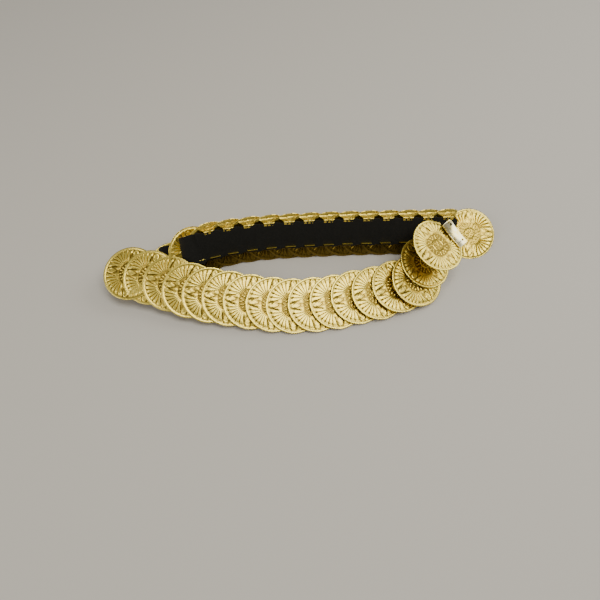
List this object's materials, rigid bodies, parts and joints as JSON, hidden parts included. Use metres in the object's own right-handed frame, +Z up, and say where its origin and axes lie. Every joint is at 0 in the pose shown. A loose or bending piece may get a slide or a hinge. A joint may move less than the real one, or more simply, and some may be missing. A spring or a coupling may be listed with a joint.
{
  "type": "coin chain belt",
  "caption": "Stretch waist belt of overlapping stamped gold-tone coin discs on a black elastic band, closed by a small plate and lying in a loop.",
  "frame": {"origin": "middle of the footprint, on the surface the belt lies on", "axes": "+X along the loop's length towards the clasp end, +Y towards the run that stands on edge, +Z up"},
  "size_m": [0.3324, 0.1136, 0.0416],
  "materials": {
    "gold": "stamped pale gold plate, soft shine",
    "plate": "smooth polished pale gold",
    "elastic": "matte black woven elastic"
  },
  "bodies": {
    "root": {"disc_01": "gold", "disc_02": "gold", "disc_03": "gold", "disc_04": "gold", "disc_05": "gold", "disc_06": "gold", "disc_07": "gold", "disc_08": "gold", "disc_09": "gold", "disc_10": "gold", "disc_11": "gold", "disc_12": "gold", "disc_13": "gold", "disc_14": "gold", "disc_15": "gold", "disc_16": "gold", "disc_17": "gold", "disc_18": "gold", "disc_19": "gold", "disc_20": "gold", "disc_21": "gold", "disc_22": "gold", "disc_23": "gold", "disc_24": "gold", "disc_25": "gold", "disc_26": "gold", "disc_27": "gold", "disc_28": "gold", "disc_29": "gold", "disc_30": "gold", "disc_31": "gold", "disc_32": "gold", "disc_33": "gold", "disc_34": "gold", "clasp_disc": "gold", "clasp_plate": "plate", "elastic_back": "elastic", "elastic_fold": "elastic", "elastic_front": "elastic"}
  },
  "joints": []
}
